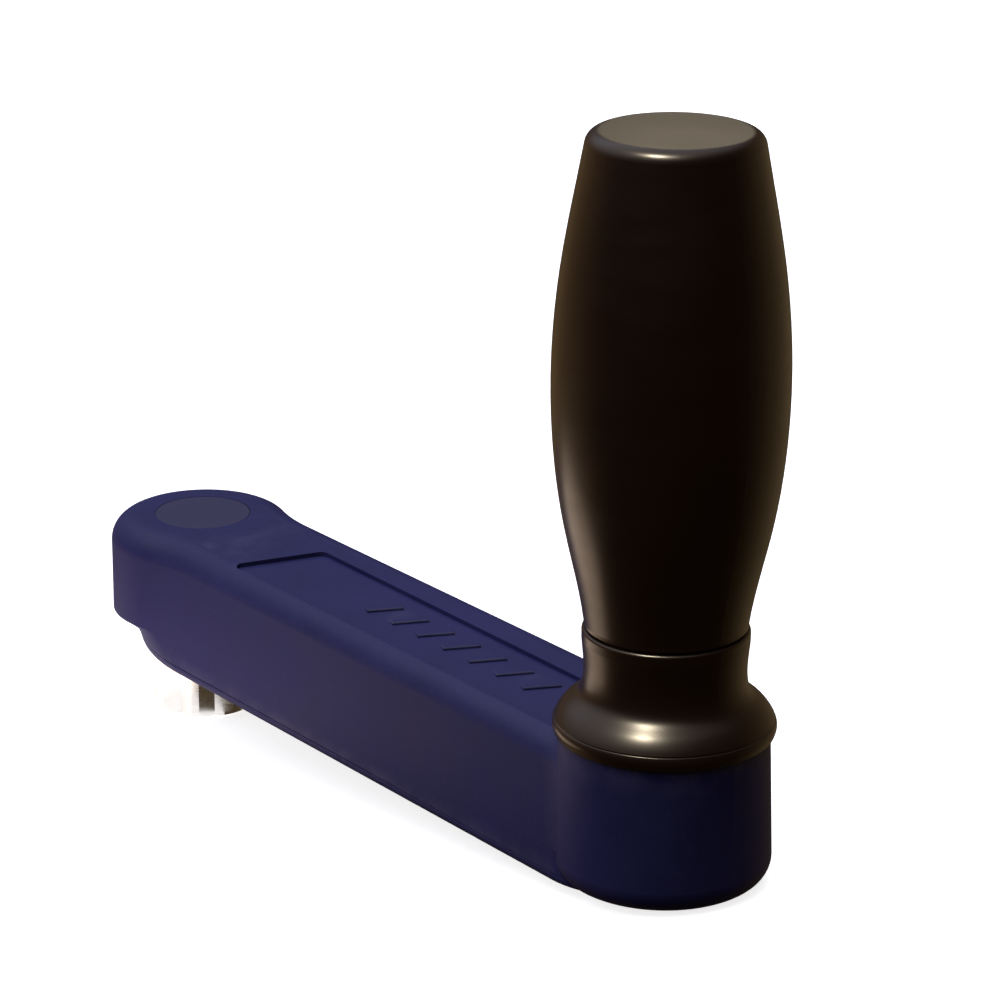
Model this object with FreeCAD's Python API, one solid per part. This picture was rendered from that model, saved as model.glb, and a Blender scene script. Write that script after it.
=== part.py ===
# Winch handle: a hollow moulded crank arm with an eight-point drive under its head
# and a spinning grip on an alloy spindle at its other end.  Millimetres.
# Origin: on the drive axis, at the underside of the bottom cover.
# +X runs along the arm to the grip, +Z points up along the grip.

import FreeCAD, Part
import math
import os

os.makedirs("parts", exist_ok=True)

# ---- driving dimensions: the arm --------------------------------------------------
crank_length = 152.4        # drive axis to grip axis: six inches
arm_top = 26.5              # top face of the arm
chamfer_top = 6.2           # the head's underside chamfer starts at this height
seam_z = 2.0                # joint between the arm shell and the bottom cover
seam_gap = 0.15

head_radius = 19.2
head_base_radius = 13.4     # the head at its very bottom, under the chamfer
base_half_width = 19.2      # arm's half width at the bottom
top_half_width = 15.8       # the same at the top: the sides lean inwards
neck_radius = 45.0          # hollow curve from the head into the arm, seen from above
root_radius = 20.0          # hollow curve from the arm's side into the boss
flank_end_x = 20.0          # where the head's bottom curve meets the straight side
foot_end_x = crank_length - 9.0
web_foot_z = 1.0            # the hollow roots fade out at this height
web_foot_size = 0.6         # their size there
web_reach = 8.0
top_edge_radius = 5.4
bottom_edge_radius = 1.3

boss_top = 28.2             # the round end under the grip stands proud of the arm
boss_top_radius = 19.25
boss_base_radius = 20.05
boss_edge_radius = 4.6
boss_skin = 0.1             # the arm's end stays this far inside the boss's wall

panel_depth = 0.9
panel_near_x = 30.2         # the panel's end edge slants across the arm
panel_far_x = 34.9
panel_far_y = 6.8           # its far edge at the head's end
panel_far_end_y = 5.6       # the same at the grip axis: the panel narrows a little
panel_near_y = -12.6
panel_corner = 1.8
bar_count = 7
bar_pitch = 8.4
bar_first_x = 67.5
bar_y = -1.3
bar_length = 7.4
bar_width = 2.0
bar_height = 0.55
bar_slant = 24.0
bar_rim = 0.35
bar_root = 0.5              # how deep a bar reaches into the panel's floor

cavity_start_x = 25.0
cavity_end_x = 127.5
cavity_half_width = 12.2
cavity_top = 22.6
cavity_corner = 4.0
rib_thickness = 2.4
rib_x = (60.0, 94.0)
rib_foot_gap = 0.6          # ribs and foam stop this far above the cover's lip
rib_overlap = 0.5
pillar_radius = 4.0
lip_height = 3.0
lip_thickness = 1.6
lip_gap = 0.2
gasket_inset = 1.2
gasket_width = 1.8
gasket_depth = 1.5
foam_gap = 0.4

cover_screw_radius = 1.7
cover_screw_head = 3.4
cover_screw_length = 12.0
cover_screw_point = 1.6
cover_screw_tip = 0.5
cover_slot_width = 0.8
cover_slot_reach = 1.8
cover_slot_depth = 1.0
cover_screw_spots = (
    (19.5, 10.5), (19.5, -10.5), (rib_x[0], 0.0), (rib_x[1], 0.0), (132.0, 13.0), (132.0, -13.0),
)

# ---- driving dimensions: the drive -------------------------------------------------
star_across_flats = 17.46   # 11/16 in, the standard winch socket
star_tip_radius = 11.55
star_length = 15.8          # below the cover
star_entry = 1.4            # bevel at its lower end
star_tapped_depth = 11.0
star_collar_radius = 13.0
star_collar_thickness = 3.0
star_hole_gap = 0.45
shank_size = 14.0
shank_top = 11.4
shank_root = 0.5
seal_wire = 0.88            # section radius of the seal in the collar's groove
seal_groove_depth = 1.8
seal_groove_width = 2.0

screw_seat_z = 14.0
screw_well_radius = 9.0
drive_screw_radius = 4.0
drive_screw_depth = 9.0     # how far its stem reaches below the cover
drive_screw_head = 6.5
drive_screw_head_height = 7.2
drive_screw_rim = 0.6
drive_screw_key = 6.0       # hexagon socket, across flats
drive_screw_key_depth = 4.0
drive_washer_radius = 8.0
drive_washer_thickness = 1.6
plug_radius = 9.95
plug_thickness = 2.4
plug_rim = 0.2
plug_skirt = 8.9
plug_skirt_wall = 1.4
plug_skirt_depth = 2.0

# ---- driving dimensions: spindle and collar -----------------------------------------
shoulder_radius = 6.0       # spindle's bearing diameter is 12
thread_radius = 5.0
spindle_shoulder_z = 122.0
spindle_end_z = 133.2
spindle_end_bevel = 0.8
bolt_flats = 19.0
bolt_head_height = 7.0
bolt_head_top = 9.4

collar_top = 48.35
collar_foot_radius = 20.1
collar_edge = 0.6           # rounding at the collar's very bottom and top
collar_ring_swell = 0.25
collar_groove_z = boss_top + 2.9    # fine groove over the collar's lower ring
collar_groove = 0.2
collar_roll = (             # radius and height above the boss, from the groove up to the brim
    (19.95, 3.1), (19.3, 4.2), (17.9, 5.8), (15.7, 7.8), (14.85, 10.5), (15.2, 18.0),
)
collar_cavity_radius = 12.3
collar_floor = 3.0
spigot_radius = 10.0
spigot_depth = 2.0
spindle_washer_radius = 11.5
spindle_washer_thickness = 2.0
spindle_nut_height = 7.0
nut_bevel = 0.8
thrust_washer_radius = 14.1
thrust_washer_thickness = 1.0

# ---- driving dimensions: the spinning grip --------------------------------------------
grip_bottom = 48.65
grip_top = 139.35
grip_foot_radius = 14.85
grip_foot_height = 0.9
grip_edge = 0.3
grip_wall = (
    (15.5, 53.5), (18.5, 67.0), (20.8, 84.0), (21.1, 98.0), (19.6, 115.5), (17.0, 130.4),
)
grip_rim_start = 15.75      # radius at which the wall turns over into the top
grip_rim_lean = 11.3        # degrees the wall leans inwards there
grip_rim_round = 2.6
grip_dome = 0.15
bore_top = 135.2            # the grip is closed above this height
core_radius = 11.5
core_bore_radius = 8.5
core_gap = 3.1              # grip's lower end to the core's lower end
core_end_gap = 0.2          # upper bush's flange to the spindle's shoulder
bush_length = 16.0
bush_flange = 1.8
bush_flange_gap = 0.2
retaining_washer_radius = 10.9
retaining_washer_thickness = 1.6
retaining_nut_flats = 17.0
retaining_nut_height = 8.0

fit = 0.05                  # radial clearance of running and sliding fits
easy_fit = 0.1              # the same where nothing turns or seals
loose_fit = 0.25            # washers round their bolts

# ---- sizes that follow from those above --------------------------------------------
core_bottom = grip_bottom + core_gap
core_top = spindle_shoulder_z - core_end_gap - bush_flange
star_collar_top = seam_z + star_collar_thickness
collar_floor_z = boss_top + collar_floor
rib_foot_z = seam_z + lip_height + rib_foot_gap
key_sink = cover_screw_head - cover_screw_radius

V = FreeCAD.Vector
UP = V(0, 0, 1)


# ---- helpers --------------------------------------------------------------------
def cylinder(radius, z0, z1, x=0.0, y=0.0):
    return Part.makeCylinder(radius, z1 - z0, V(x, y, z0), UP)


def ring(outer, inner, z0, z1, x=0.0, y=0.0):
    return cylinder(outer, z0, z1, x, y).cut(cylinder(inner, z0 - 1, z1 + 1, x, y))


def cone(r0, r1, z0, z1, x=0.0, y=0.0):
    return Part.makeCone(r0, r1, z1 - z0, V(x, y, z0), UP)


def block(x0, x1, y0, y1, z0, z1):
    return Part.makeBox(x1 - x0, y1 - y0, z1 - z0, V(x0, y0, z0))


def regular_prism(sides, across_flats, z0, z1, x=0.0, y=0.0, turn=0.0):
    """Prism with the given number of sides; turn (degrees) rotates it about its axis."""
    corner = across_flats / 2 / math.cos(math.pi / sides)
    points = []
    for i in range(sides + 1):
        a = math.radians(turn) + math.pi / sides + 2 * math.pi * i / sides
        points.append(V(x + corner * math.cos(a), y + corner * math.sin(a), z0))
    return Part.Face(Part.makePolygon(points)).extrude(V(0, 0, z1 - z0))


def arc(a, b, c):
    return Part.Arc(a, b, c).toShape()


def line(a, b):
    return Part.LineSegment(a, b).toShape()


def spline(points):
    curve = Part.BSplineCurve()
    curve.interpolate(points)
    return curve.toShape()


def spin(edges, x=0.0, y=0.0):
    """Solid of revolution about the vertical through (x, y); edges lie in the XZ plane."""
    face = Part.Face(Part.Wire(edges))
    face.translate(V(x, y, 0))
    return face.revolve(V(x, y, 0), UP, 360)


def profile(points, x=0.0, y=0.0):
    """Turned solid from straight (radius, z) points."""
    corners = [V(r, 0, z) for r, z in points]
    corners.append(corners[0])
    edges = [line(a, b) for a, b in zip(corners, corners[1:])]
    return spin(edges, x, y)


def edges_at(shape, z):
    """Edges that lie wholly in the horizontal plane at height z."""
    found = []
    for e in shape.Edges:
        if abs(e.BoundBox.ZMin - z) < 1e-3 and abs(e.BoundBox.ZMax - z) < 1e-3:
            found.append(e)
    return found


def upright_edges(shape):
    return [e for e in shape.Edges if abs(e.tangentAt(e.FirstParameter).z) > 0.99]


def rounded_slot(x0, x1, half_width, corner, z0, z1):
    """Vertical prism with a round-cornered rectangle as its outline."""
    body = block(x0, x1, -half_width, half_width, z0, z1)
    return body.makeFillet(corner, upright_edges(body))


# ---- outer form of the arm --------------------------------------------------------
def mirror_y(p):
    return V(p.x, -p.y, p.z)


def half_width_at(z):
    return base_half_width + (top_half_width - base_half_width) * z / arm_top


def boss_radius_at(z):
    drop = (boss_top_radius - boss_base_radius) / (boss_top - boss_edge_radius)
    return boss_base_radius + drop * (z - boss_edge_radius)


def on_circle(centre, radius, angle):
    """Point at the angle (radians) on a level circle."""
    return centre + V(radius * math.cos(angle), radius * math.sin(angle), 0)


def arm_flank(z):
    """Hollow arc from the head circle to the start of the straight side: end, middle, start."""
    half = half_width_at(z)
    reach = head_radius + neck_radius
    centre = V(math.sqrt(reach**2 - (half + neck_radius)**2), half + neck_radius, z)
    away = math.atan2(-centre.y, -centre.x)
    return (
        on_circle(centre, neck_radius, away),
        on_circle(centre, neck_radius, (away - math.pi / 2) / 2),
        V(centre.x, half, z),
    )


def arm_root(z):
    """Hollow arc from the end of the straight side to the boss: start, middle, end."""
    half = half_width_at(z)
    reach = boss_radius_at(z) - boss_skin + root_radius
    back = math.sqrt(reach**2 - (half + root_radius)**2)
    centre = V(crank_length - back, half + root_radius, z)
    away = math.atan2(-centre.y, back)
    return (
        V(centre.x, half, z),
        on_circle(centre, root_radius, (away - math.pi / 2) / 2),
        on_circle(centre, root_radius, away),
    )


def base_flank(z):
    """Full arc from the small circle under the head to the start of the straight side."""
    half = half_width_at(z)
    swell = (flank_end_x**2 + half**2 - head_base_radius**2) / (2 * (half - head_base_radius))
    centre = V(flank_end_x, half - swell, z)
    join = V(-centre.x, -centre.y, 0).normalize() * head_base_radius + V(0, 0, z)
    away = math.atan2(join.y - centre.y, join.x - centre.x)
    return join, on_circle(centre, swell, (away + math.pi / 2) / 2), V(flank_end_x, half, z)


def foot_outline(head, flank):
    """Outline of the arm's foot: head arc, flanks, straight sides and a round end."""
    join, flank_mid, start = flank
    end = V(foot_end_x, start.y, start.z)
    return Part.Wire([
        arc(join, V(-head, 0, start.z), mirror_y(join)),
        arc(mirror_y(join), mirror_y(flank_mid), mirror_y(start)),
        line(mirror_y(start), mirror_y(end)),
        arc(mirror_y(end), V(foot_end_x + start.y, 0, start.z), end),
        line(end, start),
        arc(start, flank_mid, join),
    ])


def upper_outline(z):
    """Outline above the foot: the sides run through hollow roots into the boss."""
    join, flank_mid, start = arm_flank(z)
    end, root_mid, turn = arm_root(z)
    return Part.Wire([
        arc(join, V(-head_radius, 0, z), mirror_y(join)),
        arc(mirror_y(join), mirror_y(flank_mid), mirror_y(start)),
        line(mirror_y(start), mirror_y(end)),
        arc(mirror_y(end), mirror_y(root_mid), mirror_y(turn)),
        arc(mirror_y(turn), V(crank_length + boss_radius_at(z) - boss_skin, 0, z), turn),
        arc(turn, root_mid, end),
        line(end, start),
        arc(start, flank_mid, join),
    ])


def root_web(side):
    """Lower end of a hollow root, fading out under the boss; side is 1 or -1."""
    outlines = []
    for z, size in ((web_foot_z, web_foot_size), (chamfer_top, 1.0)):
        root = arm_root(chamfer_top)
        inner = V(crank_length - web_reach, root[0].y - web_reach, chamfer_top)
        corners = [inner + (p - inner) * size for p in root] + [inner]
        start, middle, end, inner = [V(p.x, side * p.y, z) for p in corners]
        outlines.append(Part.Wire([arc(start, middle, end), line(end, inner), line(inner, start)]))
    return Part.makeLoft(outlines, True, True)


def arm_form():
    """Outer form of the arm up to the boss, cover included, before it is hollowed."""
    lower = foot_outline(head_base_radius, base_flank(0.0))
    middle = foot_outline(head_radius, arm_flank(chamfer_top))
    foot = Part.makeLoft([lower, middle], True, True)
    foot = foot.makeFillet(bottom_edge_radius, edges_at(foot, 0.0))
    upper = Part.makeLoft([upper_outline(chamfer_top), upper_outline(arm_top)], True, True)
    upper = upper.makeFillet(top_edge_radius, edges_at(upper, arm_top))
    form = foot.fuse([upper, root_web(1), root_web(-1)])
    return form.cut(panel_pocket())


def boss_form():
    """Round end under the grip: a slightly tapered drum with a full lower edge."""
    wide = boss_base_radius
    q = boss_edge_radius
    bend = q * math.sqrt(0.5)
    edges = [
        line(V(0, 0, 0), V(wide - q, 0, 0)),
        arc(V(wide - q, 0, 0), V(wide - q + bend, 0, q - bend), V(wide, 0, q)),
        line(V(wide, 0, q), V(boss_top_radius, 0, boss_top)),
        line(V(boss_top_radius, 0, boss_top), V(0, 0, boss_top)),
        line(V(0, 0, boss_top), V(0, 0, 0)),
    ]
    return spin(edges, crank_length)


def outer_form():
    return arm_form().fuse(boss_form()).removeSplitter()


def slab(z0, z1):
    return block(-60, crank_length + 60, -60, 60, z0, z1)


# ---- arm: shell, cover, gasket and foam ---------------------------------------------
def panel_pocket():
    """Sunk panel on the arm's top, with a slanted edge near the head, open to the boss."""
    z = arm_top - panel_depth
    corners = [
        V(panel_near_x, panel_near_y, z),
        V(crank_length, panel_near_y, z),
        V(crank_length, panel_far_end_y, z),
        V(panel_far_x, panel_far_y, z),
        V(panel_near_x, panel_near_y, z),
    ]
    pocket = Part.Face(Part.makePolygon(corners)).extrude(V(0, 0, panel_depth + 1))
    head_end = [e for e in upright_edges(pocket) if e.BoundBox.XMax < crank_length / 2]
    return pocket.makeFillet(panel_corner, head_end)


def raised_bars():
    """Plain slanted bars standing on the panel's floor."""
    floor_z = arm_top - panel_depth
    top = floor_z + bar_height
    bars = []
    for i in range(bar_count):
        bar = block(-bar_width / 2, bar_width / 2, -bar_length / 2, bar_length / 2,
                    floor_z - bar_root, top)
        bar = bar.makeFillet(bar_rim, edges_at(bar, top))
        bar.rotate(V(0, 0, 0), UP, -bar_slant)
        bar.translate(V(bar_first_x + i * bar_pitch, bar_y, 0))
        bars.append(bar)
    return bars


def cavity():
    return rounded_slot(cavity_start_x, cavity_end_x, cavity_half_width, cavity_corner,
                        seam_z - 1, cavity_top)


def cavity_ring(inset, width, z0, z1):
    """Rectangular-section ring that follows the cavity's outline; inset is positive outwards."""
    far = inset + width
    outer = rounded_slot(cavity_start_x - far, cavity_end_x + far, cavity_half_width + far,
                         cavity_corner + far, z0, z1)
    inner = rounded_slot(cavity_start_x - inset, cavity_end_x + inset, cavity_half_width + inset,
                         cavity_corner + inset, z0 - 1, z1 + 1)
    return outer.cut(inner)


def cross_rib(x):
    """Rib across the cavity with a screw pillar at its middle."""
    half = rib_thickness / 2
    wide = cavity_half_width + rib_overlap
    high = cavity_top + rib_overlap
    rib = block(x - half, x + half, -wide, wide, rib_foot_z, high)
    return rib.fuse(cylinder(pillar_radius, seam_z, high, x))


def arm_shell(form):
    shell = form.common(slab(seam_z, boss_top + 1))
    shell = shell.cut(cavity()).fuse([cross_rib(x) for x in rib_x])
    plug_z = arm_top - plug_thickness
    cuts = [
        cavity_ring(gasket_inset, gasket_width, seam_z - 1, seam_z + gasket_depth),
        cylinder(star_collar_radius + easy_fit, seam_z - 1, star_collar_top),
        regular_prism(4, shank_size + 2 * fit, seam_z, shank_top + easy_fit),
        cylinder(drive_screw_radius + loose_fit, seam_z, screw_seat_z + 1),
        cylinder(screw_well_radius, screw_seat_z, plug_z + 1),
        cylinder(plug_radius + fit, plug_z, arm_top + 1),
        cylinder(shoulder_radius + fit, seam_z - 1, boss_top + 1, crank_length),
        regular_prism(6, bolt_flats + 2 * fit, seam_z - 1, bolt_head_top, crank_length),
        cylinder(spigot_radius + fit, boss_top - spigot_depth, boss_top + 1, crank_length),
    ]
    for x, y in cover_screw_spots:
        cuts.append(cylinder(cover_screw_radius + fit, seam_z - 1,
                             cover_screw_length + rib_foot_gap, x, y))
    shell = shell.cut(cuts)
    return shell.fuse(raised_bars()).removeSplitter()


def bottom_cover(form):
    plate = form.common(slab(-1, seam_z - seam_gap))
    lip = cavity_ring(-lip_gap - lip_thickness, lip_thickness, seam_z - 2 * seam_gap,
                      seam_z + lip_height)
    plate = plate.fuse(lip)
    cuts = [cylinder(star_tip_radius + star_hole_gap, -1, seam_z + 1)]
    for x, y in cover_screw_spots:
        cuts.append(cylinder(cover_screw_radius + fit, -1, seam_z + 1, x, y))
        cuts.append(cone(cover_screw_head + fit, cover_screw_radius + fit, 0.0, key_sink, x, y))
    return plate.cut(cuts)


def cover_gasket():
    return cavity_ring(gasket_inset + fit, gasket_width - 2 * fit, seam_z - seam_gap,
                       seam_z + gasket_depth - fit)


def foam_blocks():
    """Closed-cell foam that keeps the arm afloat, one block in each bay between the ribs."""
    top = cavity_top - foam_gap
    bays = [cavity_start_x, *rib_x, cavity_end_x]
    pillars = [cylinder(pillar_radius + foam_gap, rib_foot_z - 1, cavity_top, x) for x in rib_x]
    blocks = []
    for i in range(len(bays) - 1):
        x0 = bays[i] + foam_gap
        x1 = bays[i + 1] - foam_gap
        if bays[i] in rib_x:
            x0 += rib_thickness / 2
        if bays[i + 1] in rib_x:
            x1 -= rib_thickness / 2
        foam = rounded_slot(x0, x1, cavity_half_width - foam_gap, cavity_corner - foam_gap,
                            rib_foot_z, top)
        blocks.append(foam.cut(pillars))
    return Part.makeCompound(blocks)


def cover_screws():
    """Countersunk cross-slotted screws, one at each spot in the cover."""
    point_z = cover_screw_length - cover_screw_point
    wide = cover_slot_width / 2
    screws = []
    for x, y in cover_screw_spots:
        head = cone(cover_screw_head, cover_screw_radius, 0.0, key_sink, x, y)
        stem = cylinder(cover_screw_radius, key_sink, point_z, x, y)
        point = cone(cover_screw_radius, cover_screw_tip, point_z, cover_screw_length, x, y)
        slots = [
            block(x - cover_slot_reach, x + cover_slot_reach, y - wide, y + wide,
                  -1, cover_slot_depth),
            block(x - wide, x + wide, y - cover_slot_reach, y + cover_slot_reach,
                  -1, cover_slot_depth),
        ]
        screws.append(head.fuse([stem, point]).cut(slots).removeSplitter())
    return Part.makeCompound(screws)


# ---- drive: star, its screw, washer and seal, and the plug over them -------------------
def drive_star():
    """Eight-point drive, with a round collar inside the arm and a square shank above it."""
    squares = [regular_prism(4, star_across_flats, -star_length, seam_z, turn=a) for a in (0, 45)]
    star = squares[0].fuse(squares[1])
    star = star.common(cylinder(star_tip_radius, -star_length, seam_z))
    rise = star_length + seam_z
    star = star.common(
        cone(star_tip_radius - star_entry, star_tip_radius - star_entry + rise, -star_length, seam_z))
    groove_z = seam_z + (star_collar_thickness - seal_groove_width) / 2
    groove = ring(star_collar_radius + 1, star_collar_radius - seal_groove_depth, groove_z,
                  groove_z + seal_groove_width)
    collar = cylinder(star_collar_radius, seam_z, star_collar_top).cut(groove)
    shank = regular_prism(4, shank_size, star_collar_top - shank_root, shank_top)
    tapped = cylinder(drive_screw_radius + fit, -star_tapped_depth, shank_top + 1)
    return star.fuse([collar, shank]).cut(tapped).removeSplitter()


def drive_seal():
    centre_z = seam_z + star_collar_thickness / 2
    return Part.makeTorus(star_collar_radius - seal_wire, seal_wire, V(0, 0, centre_z), UP)


def drive_washer():
    return ring(drive_washer_radius, drive_screw_radius + loose_fit, screw_seat_z,
                screw_seat_z + drive_washer_thickness)


def drive_screw():
    under = screw_seat_z + drive_washer_thickness
    top = under + drive_screw_head_height
    head = cylinder(drive_screw_head, under, top)
    head = head.makeFillet(drive_screw_rim, edges_at(head, top))
    key = regular_prism(6, drive_screw_key, top - drive_screw_key_depth, top + 1)
    stem = cylinder(drive_screw_radius, -drive_screw_depth, under)
    return head.cut(key).fuse(stem).removeSplitter()


def head_plug():
    under = arm_top - plug_thickness
    disc = cylinder(plug_radius, under, arm_top)
    disc = disc.makeFillet(plug_rim, edges_at(disc, arm_top))
    skirt = ring(plug_skirt, plug_skirt - plug_skirt_wall, under - plug_skirt_depth, under)
    return disc.fuse(skirt).removeSplitter()


# ---- grip: fixed spindle and collar ----------------------------------------------------
def grip_spindle():
    head = regular_prism(6, bolt_flats, bolt_head_top - bolt_head_height, bolt_head_top,
                         crank_length)
    stem = cylinder(shoulder_radius, bolt_head_top, spindle_shoulder_z, crank_length)
    thread = cylinder(thread_radius, spindle_shoulder_z, spindle_end_z, crank_length)
    thread = thread.makeChamfer(spindle_end_bevel, edges_at(thread, spindle_end_z))
    return head.fuse([stem, thread]).removeSplitter()


def base_collar():
    """Black collar: a full roll with a fine groove over its lower ring, and a slim neck."""
    foot = collar_foot_radius
    under = boss_top - spigot_depth
    bore = shoulder_radius + easy_fit
    rest = thrust_washer_radius + fit
    rest_z = grip_bottom - fit - thrust_washer_thickness
    roll = [V(r, 0, boss_top + h) for r, h in collar_roll]
    brim = roll[-1].x
    ring_top = collar_groove_z - collar_groove
    corner = collar_edge * (1 - math.sqrt(0.5))
    return spin([
        line(V(bore, 0, under), V(spigot_radius, 0, under)),
        line(V(spigot_radius, 0, under), V(spigot_radius, 0, boss_top)),
        line(V(spigot_radius, 0, boss_top), V(foot - collar_edge, 0, boss_top)),
        arc(V(foot - collar_edge, 0, boss_top), V(foot - corner, 0, boss_top + corner),
            V(foot, 0, boss_top + collar_edge)),
        arc(V(foot, 0, boss_top + collar_edge),
            V(foot + collar_ring_swell, 0, (boss_top + collar_edge + ring_top) / 2),
            V(foot, 0, ring_top)),
        arc(V(foot, 0, ring_top), V(foot - collar_groove, 0, collar_groove_z), roll[0]),
        spline(roll),
        line(roll[-1], V(brim, 0, collar_top - collar_edge)),
        arc(V(brim, 0, collar_top - collar_edge), V(brim - corner, 0, collar_top - corner),
            V(brim - collar_edge, 0, collar_top)),
        line(V(brim - collar_edge, 0, collar_top), V(rest, 0, collar_top)),
        line(V(rest, 0, collar_top), V(rest, 0, rest_z)),
        line(V(rest, 0, rest_z), V(collar_cavity_radius, 0, rest_z)),
        line(V(collar_cavity_radius, 0, rest_z), V(collar_cavity_radius, 0, collar_floor_z)),
        line(V(collar_cavity_radius, 0, collar_floor_z), V(bore, 0, collar_floor_z)),
        line(V(bore, 0, collar_floor_z), V(bore, 0, under)),
    ], crank_length)


def spindle_washer():
    return ring(spindle_washer_radius, shoulder_radius + loose_fit, collar_floor_z,
                collar_floor_z + spindle_washer_thickness, crank_length)


def hex_nut(flats, hole, z0, height):
    """Plain hexagon nut with its corners turned off at both ends."""
    nut = regular_prism(6, flats, z0, z0 + height, crank_length)
    corner = flats / 2 / math.cos(math.pi / 6)
    rise = nut_bevel * math.tan(math.radians(30))
    bevel = profile([
        (0, z0), (corner - nut_bevel, z0), (corner, z0 + rise), (corner, z0 + height - rise),
        (corner - nut_bevel, z0 + height), (0, z0 + height),
    ], crank_length)
    return nut.common(bevel).cut(cylinder(hole, z0 - 1, z0 + height + 1, crank_length))


def spindle_nut():
    return hex_nut(bolt_flats, shoulder_radius + fit, collar_floor_z + spindle_washer_thickness,
                   spindle_nut_height)


def thrust_washer():
    """Slippery ring let into the collar's top, on which the grip's lower end turns."""
    top = grip_bottom - fit
    return ring(thrust_washer_radius, collar_cavity_radius + easy_fit,
                top - thrust_washer_thickness, top, crank_length)


def retaining_washer():
    return ring(retaining_washer_radius, thread_radius + easy_fit, spindle_shoulder_z,
                spindle_shoulder_z + retaining_washer_thickness, crank_length)


def retaining_nut():
    return hex_nut(retaining_nut_flats, thread_radius + fit,
                   spindle_shoulder_z + retaining_washer_thickness, retaining_nut_height)


# ---- grip: everything that spins on the spindle ------------------------------------------
def grip_barrel():
    """Barrel-shaped sleeve, closed at the top, with a rounded rim and a faintly raised middle."""
    foot = grip_foot_radius
    neck = V(foot, 0, grip_bottom + grip_foot_height)
    lean = math.radians(grip_rim_lean)
    over = (lean + math.pi / 2) / 2
    shoulder_z = grip_top - grip_dome
    rim = V(grip_rim_start - grip_rim_round * math.cos(lean), 0, shoulder_z - grip_rim_round)
    rim_foot = rim + V(grip_rim_round * math.cos(lean), 0, grip_rim_round * math.sin(lean))
    rim_mid = rim + V(grip_rim_round * math.cos(over), 0, grip_rim_round * math.sin(over))
    rim_top = rim + V(0, 0, grip_rim_round)
    return spin([
        line(V(core_radius, 0, grip_bottom), V(foot - grip_edge, 0, grip_bottom)),
        line(V(foot - grip_edge, 0, grip_bottom), V(foot, 0, grip_bottom + grip_edge)),
        line(V(foot, 0, grip_bottom + grip_edge), neck),
        spline([neck] + [V(r, 0, z) for r, z in grip_wall] + [rim_foot]),
        arc(rim_foot, rim_mid, rim_top),
        line(rim_top, V(0, 0, grip_top)),
        line(V(0, 0, grip_top), V(0, 0, bore_top)),
        line(V(0, 0, bore_top), V(core_radius, 0, bore_top)),
        line(V(core_radius, 0, bore_top), V(core_radius, 0, grip_bottom)),
    ], crank_length)


def grip_core():
    return ring(core_radius, core_bore_radius, core_bottom, core_top, crank_length)


def bush(stem_z, flange_z):
    """Flanged bush; its stem lines the core's bore and its flange covers the core's end."""
    hole = shoulder_radius + fit
    stem = ring(core_bore_radius, hole, stem_z, stem_z + bush_length, crank_length)
    flange = ring(core_radius - bush_flange_gap, hole, flange_z, flange_z + bush_flange,
                  crank_length)
    return stem.fuse(flange).removeSplitter()


def lower_bush():
    return bush(core_bottom, core_bottom - bush_flange)


def upper_bush():
    return bush(core_top - bush_length, core_top)


def main():
    form = outer_form()
    pieces = {
        "arm_shell": arm_shell(form),
        "bottom_cover": bottom_cover(form),
        "cover_gasket": cover_gasket(),
        "foam_blocks": foam_blocks(),
        "cover_screws": cover_screws(),
        "drive_star": drive_star(),
        "drive_seal": drive_seal(),
        "drive_washer": drive_washer(),
        "drive_screw": drive_screw(),
        "head_plug": head_plug(),
        "grip_spindle": grip_spindle(),
        "base_collar": base_collar(),
        "spindle_washer": spindle_washer(),
        "spindle_nut": spindle_nut(),
        "thrust_washer": thrust_washer(),
        "retaining_washer": retaining_washer(),
        "retaining_nut": retaining_nut(),
        "grip_barrel": grip_barrel(),
        "grip_core": grip_core(),
        "lower_bush": lower_bush(),
        "upper_bush": upper_bush(),
    }
    for name, shape in pieces.items():
        solids = shape.Solids
        print(f"{name:18s} solids {len(solids)}  valid {shape.isValid()}  {shape.Volume / 1000:8.3f} cm3")
        if len(solids) == 1:
            shape = solids[0]
        shape.exportStep(f"parts/{name}.step")


main()
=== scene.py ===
# Looks for the winch handle: materials, light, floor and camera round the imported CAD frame.
# Lengths are in metres.

import math

import bpy
from mathutils import Matrix, Vector


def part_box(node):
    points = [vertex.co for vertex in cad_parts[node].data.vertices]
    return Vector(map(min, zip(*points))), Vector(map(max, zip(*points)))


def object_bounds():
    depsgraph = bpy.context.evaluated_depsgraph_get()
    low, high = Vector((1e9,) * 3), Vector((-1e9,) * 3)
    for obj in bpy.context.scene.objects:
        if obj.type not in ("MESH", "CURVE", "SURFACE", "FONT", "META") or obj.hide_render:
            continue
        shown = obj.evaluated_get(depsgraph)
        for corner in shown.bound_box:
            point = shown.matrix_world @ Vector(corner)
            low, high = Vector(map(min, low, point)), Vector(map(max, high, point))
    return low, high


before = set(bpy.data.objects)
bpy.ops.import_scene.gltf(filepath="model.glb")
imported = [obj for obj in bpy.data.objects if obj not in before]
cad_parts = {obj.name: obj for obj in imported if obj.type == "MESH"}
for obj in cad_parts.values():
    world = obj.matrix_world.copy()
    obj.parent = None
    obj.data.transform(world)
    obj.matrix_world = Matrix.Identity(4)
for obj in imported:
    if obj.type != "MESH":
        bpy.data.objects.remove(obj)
cad_low, cad_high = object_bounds()


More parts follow.
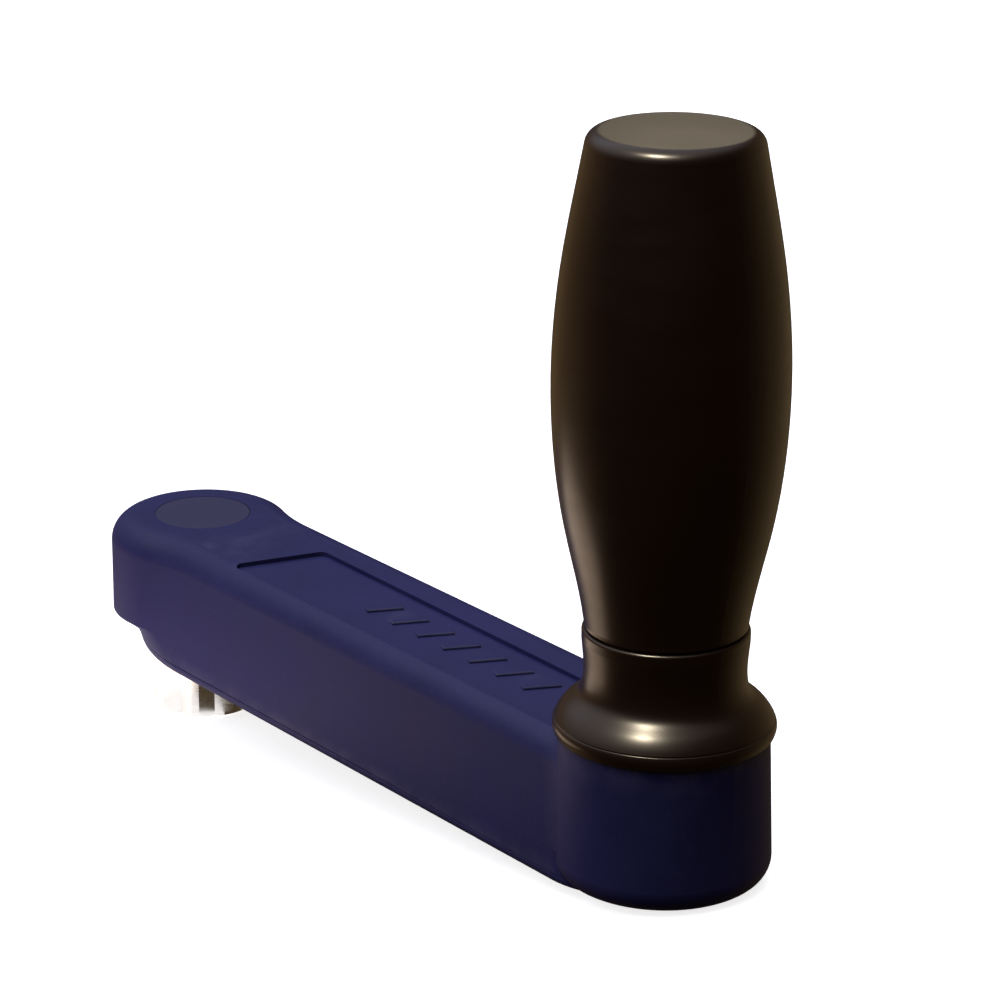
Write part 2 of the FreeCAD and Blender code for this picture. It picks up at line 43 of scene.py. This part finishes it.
# ---- node helpers -----------------------------------------------------------------
class Nodes:
    """A material's node tree with short calls for the nodes used here."""

    def __init__(self, tree):
        self.tree = tree
        tree.nodes.clear()

    def add(self, kind, **settings):
        node = self.tree.nodes.new(kind)
        for key, value in settings.items():
            setattr(node, key, value)
        return node

    def link(self, source, target):
        self.tree.links.new(source, target)

    def noise(self, vector, scale, detail=3.0, roughness=0.5):
        node = self.add("ShaderNodeTexNoise")
        node.inputs["Scale"].default_value = scale
        node.inputs["Detail"].default_value = detail
        node.inputs["Roughness"].default_value = roughness
        self.link(vector, node.inputs["Vector"])
        return node.outputs["Fac"]

    def voronoi(self, vector, scale):
        node = self.add("ShaderNodeTexVoronoi")
        node.inputs["Scale"].default_value = scale
        self.link(vector, node.inputs["Vector"])
        return node.outputs["Distance"]

    def remap(self, value, low, high, to_low=0.0, to_high=1.0, smooth=False):
        node = self.add("ShaderNodeMapRange", clamp=True)
        if smooth:
            node.interpolation_type = "SMOOTHSTEP"
        node.inputs["From Min"].default_value = low
        node.inputs["From Max"].default_value = high
        node.inputs["To Min"].default_value = to_low
        node.inputs["To Max"].default_value = to_high
        self.link(value, node.inputs["Value"])
        return node.outputs["Result"]

    def math(self, operation, a, b):
        node = self.add("ShaderNodeMath", operation=operation)
        for socket, value in zip(node.inputs, (a, b)):
            if isinstance(value, (int, float)):
                socket.default_value = value
            else:
                self.link(value, socket)
        return node.outputs[0]

    def mix(self, factor, a, b):
        """Colour between a and b; each is a colour tuple or a socket."""
        node = self.add("ShaderNodeMix", data_type="RGBA")
        self.link(factor, node.inputs["Factor"])
        for name, value in (("A", a), ("B", b)):
            socket = [s for s in node.inputs if s.name == name and s.type == "RGBA"][0]
            if isinstance(value, tuple):
                socket.default_value = (*value, 1.0)
            else:
                self.link(value, socket)
        return [s for s in node.outputs if s.type == "RGBA"][0]

    def object_point(self):
        return self.add("ShaderNodeTexCoord").outputs["Object"]

    def stretch(self, vector, scale):
        node = self.add("ShaderNodeMapping")
        node.inputs["Scale"].default_value = scale
        self.link(vector, node.inputs["Vector"])
        return node.outputs["Vector"]

    def edges(self, low, high):
        """1 on worn outer edges, 0 elsewhere."""
        return self.remap(self.add("ShaderNodeNewGeometry").outputs["Pointiness"], low, high)

    def bump(self, height, strength, distance, below=None):
        node = self.add("ShaderNodeBump")
        node.inputs["Strength"].default_value = strength
        node.inputs["Distance"].default_value = distance
        self.link(height, node.inputs["Height"])
        if below is not None:
            self.link(below, node.inputs["Normal"])
        return node.outputs["Normal"]


def new_material(name):
    material = bpy.data.materials.new(name)
    material.use_nodes = True
    nodes = Nodes(material.node_tree)
    shader = nodes.add("ShaderNodeBsdfPrincipled")
    output = nodes.add("ShaderNodeOutputMaterial")
    nodes.link(shader.outputs["BSDF"], output.inputs["Surface"])
    return material, nodes, shader


# ---- materials --------------------------------------------------------------------
def moulded_plastic(name, dark, light, scuff, rough, grain=0.2, shine=0.25):
    """Spark-eroded moulding: fine grain, faint flow mottling, paler scuffed edges."""
    material, n, shader = new_material(name)
    point = n.object_point()
    mottle = n.noise(point, 55.0, 4.0, 0.6)
    fleck = n.noise(point, 900.0, 2.0, 0.6)
    colour = n.mix(n.remap(mottle, 0.3, 0.7), dark, light)
    flecks = n.remap(fleck, 0.6, 0.8, 0.0, 0.12)
    colour = n.mix(flecks, colour, scuff)
    patchy = n.remap(n.noise(point, 220.0), 0.4, 0.65, 0.15, 0.65)
    worn = n.math("MULTIPLY", n.edges(0.53, 0.62), patchy)
    colour = n.mix(worn, colour, scuff)
    n.link(colour, shader.inputs["Base Color"])
    n.link(n.remap(mottle, 0.3, 0.7, rough - 0.05, rough + 0.05), shader.inputs["Roughness"])
    shader.inputs["Specular IOR Level"].default_value = shine
    fine = n.bump(n.noise(point, 2600.0, 2.0), grain, 0.00006)
    n.link(n.bump(mottle, 0.12, 0.0004, fine), shader.inputs["Normal"])
    return material


def black_plastic(name, rough):
    """Dark polished moulding with a faint sink waviness and soft rub marks round it."""
    material, n, shader = new_material(name)
    point = n.object_point()
    cloud = n.noise(point, 40.0, 3.0)
    colour = n.mix(n.remap(cloud, 0.3, 0.7), (0.012, 0.0045, 0.003), (0.018, 0.0075, 0.0048))
    n.link(colour, shader.inputs["Base Color"])
    rubs = n.noise(n.stretch(point, (1.0, 1.0, 5.0)), 60.0, 3.0, 0.5)
    n.link(n.remap(rubs, 0.3, 0.75, rough - 0.02, rough + 0.03), shader.inputs["Roughness"])
    shader.inputs["Specular IOR Level"].default_value = 0.25
    shader.inputs["Specular Tint"].default_value = (1.0, 0.86, 0.66, 1.0)
    fine = n.bump(n.noise(point, 2200.0, 2.0), 0.08, 0.00004)
    n.link(n.bump(cloud, 0.04, 0.0003, fine), shader.inputs["Normal"])
    return material


def machined_metal(name, dark, light, rough):
    """Turned or milled metal with fine tool lines and a few dull spots."""
    material, n, shader = new_material(name)
    point = n.object_point()
    tooling = n.noise(n.stretch(point, (1.0, 1.0, 30.0)), 160.0, 4.0, 0.6)
    dull = n.noise(point, 130.0, 3.0)
    n.link(n.mix(n.remap(dull, 0.35, 0.7), light, dark), shader.inputs["Base Color"])
    n.link(n.remap(tooling, 0.3, 0.7, rough - 0.06, rough + 0.08), shader.inputs["Roughness"])
    shader.inputs["Metallic"].default_value = 1.0
    n.link(n.bump(tooling, 0.1, 0.00005), shader.inputs["Normal"])
    return material


def seal_rubber():
    material, n, shader = new_material("seal_rubber")
    point = n.object_point()
    bloom = n.noise(point, 180.0, 4.0)
    n.link(n.mix(n.remap(bloom, 0.4, 0.75), (0.012, 0.012, 0.012), (0.03, 0.03, 0.03)),
           shader.inputs["Base Color"])
    n.link(n.remap(bloom, 0.3, 0.7, 0.6, 0.75), shader.inputs["Roughness"])
    n.link(n.bump(n.noise(point, 1500.0), 0.15, 0.00005), shader.inputs["Normal"])
    return material


def cell_foam():
    material, n, shader = new_material("cell_foam")
    point = n.object_point()
    cells = n.voronoi(point, 900.0)
    n.link(n.mix(n.remap(cells, 0.2, 0.7), (0.7, 0.66, 0.55), (0.86, 0.83, 0.74)),
           shader.inputs["Base Color"])
    n.link(n.remap(cells, 0.0, 0.8, 0.85, 0.95), shader.inputs["Roughness"])
    n.link(n.bump(cells, 0.6, 0.0004), shader.inputs["Normal"])
    return material


MATERIALS = {
    "blue": moulded_plastic("blue_nylon", (0.0095, 0.0105, 0.08), (0.013, 0.0142, 0.097),
                            (0.075, 0.075, 0.15), 0.6, shine=0.13),
    "plug": moulded_plastic("plug_nylon", (0.03, 0.029, 0.08), (0.038, 0.036, 0.09),
                            (0.1, 0.1, 0.16), 0.65, grain=0.4, shine=0.12),
    "grip": black_plastic("grip_black", 0.3),
    "collar": black_plastic("collar_black", 0.3),
    "alloy": machined_metal("drive_alloy", (0.72, 0.72, 0.73), (0.86, 0.86, 0.87), 0.3),
    "spindle": machined_metal("spindle_alloy", (0.6, 0.6, 0.62), (0.75, 0.75, 0.77), 0.28),
    "steel": machined_metal("fastener_steel", (0.42, 0.42, 0.43), (0.6, 0.6, 0.61), 0.32),
    "bearing": moulded_plastic("bearing_acetal", (0.015, 0.015, 0.016), (0.022, 0.022, 0.023),
                               (0.05, 0.05, 0.05), 0.4, grain=0.1),
    "core": moulded_plastic("core_nylon", (0.05, 0.05, 0.055), (0.08, 0.08, 0.085),
                            (0.14, 0.14, 0.14), 0.5),
    "rubber": seal_rubber(),
    "foam": cell_foam(),
}

NODE_MATERIAL = {
    "arm_shell": "blue", "bottom_cover": "blue", "head_plug": "plug",
    "grip_barrel": "grip", "base_collar": "collar",
    "drive_star": "alloy", "grip_spindle": "spindle",
    "cover_screws": "steel", "drive_washer": "steel", "drive_screw": "steel",
    "spindle_washer": "steel", "spindle_nut": "steel",
    "retaining_washer": "steel", "retaining_nut": "steel",
    "thrust_washer": "bearing", "lower_bush": "bearing", "upper_bush": "bearing",
    "grip_core": "core", "cover_gasket": "rubber", "drive_seal": "rubber", "foam_blocks": "foam",
}

for node_name, material_key in NODE_MATERIAL.items():
    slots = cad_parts[node_name].data.materials
    for i in range(len(slots)):
        slots[i] = MATERIALS[material_key]


# ---- camera -----------------------------------------------------------------------
AZIMUTH = math.radians(52.69)
ELEVATION = math.radians(19.31)
ROLL = math.radians(0.28)
LENS_MM = 139.66
SENSOR_MM = 36.0
DISTANCE = 0.7462
AIM_RIGHT = 0.01574         # where the camera looks, from the middle of the object's box
AIM_UP = -0.01014

centre = (cad_low + cad_high) / 2
right = Vector((math.cos(AZIMUTH), math.sin(AZIMUTH), 0.0))
back = Vector((math.sin(AZIMUTH) * math.cos(ELEVATION), -math.cos(AZIMUTH) * math.cos(ELEVATION),
               math.sin(ELEVATION)))
up = back.cross(right)
level_back = Vector((back.x, back.y, 0.0)).normalized()


def make_camera():
    data = bpy.data.cameras.new("camera")
    data.lens = LENS_MM
    data.sensor_width = SENSOR_MM
    data.clip_start = 0.05
    data.clip_end = 50.0
    camera = bpy.data.objects.new("camera", data)
    bpy.context.scene.collection.objects.link(camera)
    rolled_right = right * math.cos(ROLL) + up * math.sin(ROLL)
    rolled_up = up * math.cos(ROLL) - right * math.sin(ROLL)
    place = centre + right * AIM_RIGHT + up * AIM_UP + back * DISTANCE
    camera.matrix_world = Matrix((
        (rolled_right.x, rolled_up.x, back.x, place.x),
        (rolled_right.y, rolled_up.y, back.y, place.y),
        (rolled_right.z, rolled_up.z, back.z, place.z),
        (0.0, 0.0, 0.0, 1.0),
    ))
    bpy.context.scene.camera = camera


# ---- floor and light --------------------------------------------------------------
FLOOR_REACH = 3.0           # half the floor's width
FLOOR_GAP = 0.0002          # the floor lies this far under the handle
BOSS_EDGE = 0.0045          # the boss touches the floor this far in from its end
GLOW_GAP = 0.0004           # the bright patches lie this far over the handle's resting plane
LAMP_DISTANCE = 1.2
WINDOW_DISTANCE = 0.32
AMBIENT = (0.062, 0.042, 0.021)


def make_floor():
    """Pale floor just under the drive's end and the boss, on which the handle rests.

    Gives a point on the resting plane, and that plane's slope along X.
    """
    star_low, star_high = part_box("drive_star")
    cover_low, cover_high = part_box("bottom_cover")
    front = Vector((star_high.x, 0.0, star_low.z))
    rest = Vector((cover_high.x - BOSS_EDGE, 0.0, cover_low.z))
    slope = (rest.z - front.z) / (rest.x - front.x)
    far = FLOOR_REACH
    corners = []
    for x, y in ((-far, -far), (far, -far), (far, far), (-far, far)):
        corners.append((x, y, front.z + slope * (x - front.x) - FLOOR_GAP))
    mesh = bpy.data.meshes.new("floor")
    mesh.from_pydata(corners, [], [(0, 1, 2, 3)])
    floor = bpy.data.objects.new("floor", mesh)
    bpy.context.scene.collection.objects.link(floor)
    material, n, shader = new_material("pale_floor")
    cloud = n.noise(n.object_point(), 4.0)
    n.link(n.mix(n.remap(cloud, 0.3, 0.7), (0.9, 0.9, 0.9), (0.93, 0.93, 0.93)),
           shader.inputs["Base Color"])
    shader.inputs["Roughness"].default_value = 0.9
    shader.inputs["Emission Color"].default_value = (1.0, 1.0, 1.0, 1.0)
    shader.inputs["Emission Strength"].default_value = 0.8
    mesh.materials.append(material)
    floor.visible_glossy = False
    floor.visible_diffuse = False
    return front, slope


def towards(left_turn, height):
    """Direction at degrees to the camera's left as seen from the object, and above the horizon."""
    turn = math.radians(left_turn)
    rise = math.radians(height)
    level = level_back * math.cos(turn) - right * math.sin(turn)
    return level * math.cos(rise) + Vector((0.0, 0.0, math.sin(rise)))


def make_world():
    """Room light: dim all round, with broad soft glows."""
    world = bpy.data.worlds.new("room")
    bpy.context.scene.world = world
    world.use_nodes = True
    n = Nodes(world.node_tree)
    output = n.add("ShaderNodeOutputWorld")
    direction = n.add("ShaderNodeTexCoord").outputs["Generated"]
    glows = (
        # direction, radius of the full part and of the whole glow in degrees, colour
        (towards(112, 66), 15, 66, (1.5, 1.55, 1.85)),
        (towards(125, -15), 12, 50, (0.28, 0.18, 0.08)),
        (towards(-125, -5), 10, 50, (0.27, 0.19, 0.1)),
    )
    total = None
    for way, inner, outer, colour in glows:
        dot = n.add("ShaderNodeVectorMath", operation="DOT_PRODUCT")
        n.link(direction, dot.inputs[0])
        dot.inputs[1].default_value = way
        lit = n.remap(dot.outputs["Value"], math.cos(math.radians(outer)),
                      math.cos(math.radians(inner)), smooth=True)
        glow = n.mix(lit, (0.0, 0.0, 0.0), colour)
        add = n.add("ShaderNodeVectorMath", operation="ADD")
        n.link(glow, add.inputs[0])
        if total is None:
            add.inputs[1].default_value = AMBIENT
        else:
            n.link(total, add.inputs[1])
        total = add.outputs["Vector"]
    background = n.add("ShaderNodeBackground")
    n.link(total, background.inputs["Color"])
    n.link(background.outputs["Background"], output.inputs["Surface"])


def make_lamp(name, place, aim, size, radiance, colour):
    """Oval soft box of the given width and height, shining from its place towards the aim."""
    wide, high = size
    area = math.pi * wide * high / 4        # of an ellipse
    data = bpy.data.lights.new(name, "AREA")
    data.shape = "ELLIPSE"
    data.size = wide
    data.size_y = high
    data.energy = radiance * math.pi * area     # power of a flat lamp that shines evenly
    data.color = colour
    lamp = bpy.data.objects.new(name, data)
    bpy.context.scene.collection.objects.link(lamp)
    lamp.location = place
    lamp.rotation_mode = "QUATERNION"
    lamp.rotation_quaternion = (aim - place).to_track_quat("-Z", "Y")
    lamp.visible_camera = False
    return lamp


def make_table_glow(name, x, y, size, radiance, colour):
    """Bright patch lying along the floor, shining up from it."""
    place = Vector((x, y, floor_front.z + floor_slope * (x - floor_front.x) + GLOW_GAP))
    lamp = make_lamp(name, place, place + Vector((0.0, 0.0, 1.0)), size, radiance, colour)
    along = Vector((1.0, 0.0, floor_slope)).normalized()
    # A lamp shines along its own -Z, so its Z axis points down here.
    down = along.cross(Vector((0.0, 1.0, 0.0))) * -1
    axes = Matrix((along, down.cross(along), down)).transposed()
    lamp.rotation_quaternion = axes.to_quaternion()


make_camera()
floor_front, floor_slope = make_floor()
make_world()
collar_low, collar_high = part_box("base_collar")
collar_centre = (collar_low + collar_high) / 2
grip_low, grip_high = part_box("grip_barrel")
grip_end = Vector(((grip_low.x + grip_high.x) / 2, 0.0, grip_high.z))
ceiling = collar_centre + towards(44, 67) * LAMP_DISTANCE
ceiling_lamp = make_lamp("ceiling_lamp", ceiling, collar_centre, (0.22, 0.22), 330.0,
                         (1.0, 1.0, 0.95))
ceiling_lamp.visible_diffuse = False
make_table_glow("bright_table", -0.012, -0.07, (0.21, 0.09), 2.5, (1.0, 0.79, 0.66))
make_table_glow("bright_table_end", -0.033, -0.027, (0.1, 0.1), 1.15, (1.0, 0.98, 0.97))
window = grip_end + towards(-177, 19) * WINDOW_DISTANCE
make_lamp("far_window", window, grip_end, (0.09, 0.07), 1.5, (1.0, 0.89, 0.66))

bpy.context.scene.view_settings.view_transform = "Standard"
